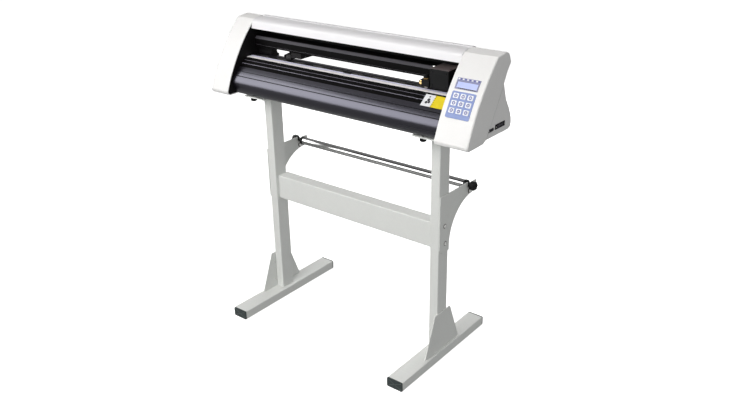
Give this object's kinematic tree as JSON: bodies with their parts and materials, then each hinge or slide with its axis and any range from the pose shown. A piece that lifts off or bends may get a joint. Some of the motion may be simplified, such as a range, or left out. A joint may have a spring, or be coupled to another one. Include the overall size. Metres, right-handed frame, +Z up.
{
  "type": "vinyl cutter",
  "caption": "Floor-standing vinyl cutter: a roll-fed head with a travelling blade carriage and keypad, on a two-post steel stand with a media roller.",
  "frame": {"origin": "on the floor, under the middle of the bounding box", "axes": "+Z up, +X along the head to the operator's right, the operator stands at -Y"},
  "size_m": [0.943, 0.443, 0.951],
  "materials": {
    "grey_paint": "light grey powder coat, fine texture",
    "cap_plastic": "dark matt end caps",
    "black_paint": "satin black",
    "black_anodised": "black anodised, brushed along its length",
    "white_plastic": "white moulded housing, light gloss",
    "white_paint": "white coated extrusion",
    "dark_plastic": "black moulded plastic",
    "chrome": "polished roller tube",
    "steel": "bright steel",
    "brass": "turned brass",
    "rubber": "black rubber",
    "strip": "pale cutting strip",
    "blue_panel": "blue printed membrane",
    "key_white": "white key faces",
    "circuit_board": "green board"
  },
  "bodies": {
    "frame": {"left_foot": "grey_paint", "left_post": "grey_paint", "left_roll_bracket": "grey_paint", "left_top_plate": "grey_paint", "right_foot": "grey_paint", "right_post": "grey_paint", "right_roll_bracket": "grey_paint", "right_top_plate": "grey_paint", "cross_beam": "grey_paint", "left_front_foot_cap": "cap_plastic", "left_rear_foot_cap": "cap_plastic", "right_front_foot_cap": "cap_plastic", "right_rear_foot_cap": "cap_plastic", "left_front_thumb_screw": "dark_plastic", "left_rear_thumb_screw": "dark_plastic", "right_front_thumb_screw": "dark_plastic", "right_rear_thumb_screw": "dark_plastic", "carriage_motor": "dark_plastic", "feed_motor": "dark_plastic", "power_socket": "dark_plastic", "platen": "black_anodised", "cutting_strip": "strip", "left_side_plate": "black_paint", "right_side_plate": "black_paint", "rail_beam": "black_paint", "left_cover": "white_plastic", "left_rear_cover": "white_plastic", "right_cover": "white_plastic", "right_rear_cover": "white_plastic", "top_cover": "white_paint", "keypad_panel": "blue_panel", "display_module": "blue_panel", "main_board": "circuit_board"},
    "roll": {"media_roller": "chrome", "left_roller_hub": "dark_plastic", "right_roller_hub": "dark_plastic"},
    "carriage": {"carriage": "dark_plastic"},
    "tool": {"tool_clamp": "dark_plastic", "blade_holder": "brass"},
    "clamp_screw": {"clamp_screw": "brass"},
    "motor_pulley": {"motor_pulley": "steel"},
    "idler_pulley": {"idler_pulley": "steel"},
    "grit_roller": {"grit_roller": "steel"},
    "feed_pinion": {"feed_pinion": "brass"},
    "power_switch": {"power_switch": "rubber"},
    "left_pinch_carrier": {"left_pinch_carrier": "black_paint"},
    "left_pinch_arm": {"left_pinch_arm": "black_paint"},
    "left_pinch_wheel": {"left_pinch_wheel": "rubber"},
    "right_pinch_carrier": {"right_pinch_carrier": "black_paint"},
    "right_pinch_arm": {"right_pinch_arm": "black_paint"},
    "right_pinch_wheel": {"right_pinch_wheel": "rubber"},
    "key_1": {"key_1": "key_white"},
    "key_2": {"key_2": "key_white"},
    "key_3": {"key_3": "key_white"},
    "key_4": {"key_4": "key_white"},
    "key_5": {"key_5": "key_white"},
    "key_6": {"key_6": "key_white"},
    "key_7": {"key_7": "key_white"},
    "key_8": {"key_8": "key_white"},
    "key_9": {"key_9": "key_white"}
  },
  "joints": [
    {"name": "roll_spin", "type": "hinge", "parent": "frame", "child": "roll", "pos_m": [-0.0105, 0.122, 0.525], "axis": [1, 0, 0], "continuous": true},
    {"name": "carriage_slide", "type": "slide", "parent": "frame", "child": "carriage", "axis": [1, 0, 0], "range_m": [-0.63, 0.012]},
    {"name": "motor_pulley_spin", "type": "hinge", "parent": "frame", "child": "motor_pulley", "pos_m": [0.421, 0.013, 0.875], "axis": [0, 0, 1], "range_deg": [-4520, 90]},
    {"name": "idler_pulley_spin", "type": "hinge", "parent": "frame", "child": "idler_pulley", "pos_m": [-0.418, 0.013, 0.875], "axis": [0, 0, 1], "range_deg": [-4520, 90]},
    {"name": "tool_lower", "type": "slide", "parent": "carriage", "child": "tool", "axis": [0, 0, -1], "range_m": [0, 0.0025], "stiffness_N_per_m": 300, "springref_m": -0.004},
    {"name": "clamp_screw_turn", "type": "hinge", "parent": "tool", "child": "clamp_screw", "pos_m": [0.258, -0.025, 0.854], "axis": [-1, 0, 0], "range_deg": [0, 360]},
    {"name": "feed_roll", "type": "hinge", "parent": "frame", "child": "grit_roller", "pos_m": [-0.013, 0.004, 0.8245], "axis": [1, 0, 0], "continuous": true},
    {"name": "feed_pinion_spin", "type": "hinge", "parent": "frame", "child": "feed_pinion", "pos_m": [0.388, -0.00991, 0.80464], "axis": [1, 0, 0], "continuous": true},
    {"name": "left_pinch_shift", "type": "slide", "parent": "frame", "child": "left_pinch_carrier", "axis": [1, 0, 0], "range_m": [-0.065, 0.15]},
    {"name": "left_pinch_lift", "type": "hinge", "parent": "left_pinch_carrier", "child": "left_pinch_arm", "pos_m": [-0.253, 0.03, 0.848], "axis": [-1, 0, 0], "range_deg": [0, 6], "stiffness_Nm_per_rad": 0.5, "springref_deg": -11.46},
    {"name": "left_pinch_wheel_spin", "type": "hinge", "parent": "left_pinch_arm", "child": "left_pinch_wheel", "pos_m": [-0.253, 0.004, 0.8438], "axis": [1, 0, 0], "continuous": true},
    {"name": "right_pinch_shift", "type": "slide", "parent": "frame", "child": "right_pinch_carrier", "axis": [1, 0, 0], "range_m": [-0.2, 0.05]},
    {"name": "right_pinch_lift", "type": "hinge", "parent": "right_pinch_carrier", "child": "right_pinch_arm", "pos_m": [0.25, 0.03, 0.848], "axis": [-1, 0, 0], "range_deg": [0, 6], "stiffness_Nm_per_rad": 0.5, "springref_deg": -11.46},
    {"name": "right_pinch_wheel_spin", "type": "hinge", "parent": "right_pinch_arm", "child": "right_pinch_wheel", "pos_m": [0.25, 0.004, 0.8438], "axis": [1, 0, 0], "continuous": true},
    {"name": "key_1_press", "type": "slide", "parent": "frame", "child": "key_1", "axis": [0, 0.8563, -0.5164], "range_m": [0, 0.0008], "stiffness_N_per_m": 600, "springref_m": -0.0003},
    {"name": "key_2_press", "type": "slide", "parent": "frame", "child": "key_2", "axis": [0, 0.8563, -0.5164], "range_m": [0, 0.0008], "stiffness_N_per_m": 600, "springref_m": -0.0003},
    {"name": "key_3_press", "type": "slide", "parent": "frame", "child": "key_3", "axis": [0, 0.8563, -0.5164], "range_m": [0, 0.0008], "stiffness_N_per_m": 600, "springref_m": -0.0003},
    {"name": "key_4_press", "type": "slide", "parent": "frame", "child": "key_4", "axis": [0, 0.8563, -0.5164], "range_m": [0, 0.0008], "stiffness_N_per_m": 600, "springref_m": -0.0003},
    {"name": "key_5_press", "type": "slide", "parent": "frame", "child": "key_5", "axis": [0, 0.8563, -0.5164], "range_m": [0, 0.0008], "stiffness_N_per_m": 600, "springref_m": -0.0003},
    {"name": "key_6_press", "type": "slide", "parent": "frame", "child": "key_6", "axis": [0, 0.8563, -0.5164], "range_m": [0, 0.0008], "stiffness_N_per_m": 600, "springref_m": -0.0003},
    {"name": "key_7_press", "type": "slide", "parent": "frame", "child": "key_7", "axis": [0, 0.8563, -0.5164], "range_m": [0, 0.0008], "stiffness_N_per_m": 600, "springref_m": -0.0003},
    {"name": "key_8_press", "type": "slide", "parent": "frame", "child": "key_8", "axis": [0, 0.8563, -0.5164], "range_m": [0, 0.0008], "stiffness_N_per_m": 600, "springref_m": -0.0003},
    {"name": "key_9_press", "type": "slide", "parent": "frame", "child": "key_9", "axis": [0, 0.8563, -0.5164], "range_m": [0, 0.0008], "stiffness_N_per_m": 600, "springref_m": -0.0003},
    {"name": "power_switch_rock", "type": "hinge", "parent": "frame", "child": "power_switch", "pos_m": [0.448, 0.086, 0.757], "axis": [1, 0, 0], "range_deg": [-6, 6]}
  ],
  "couplings": [
    {"joint": "motor_pulley_spin", "follows": "carriage_slide", "rad_per_m": 125},
    {"joint": "idler_pulley_spin", "follows": "carriage_slide", "rad_per_m": 125},
    {"joint": "feed_pinion_spin", "follows": "feed_roll", "ratio": -3}
  ]
}
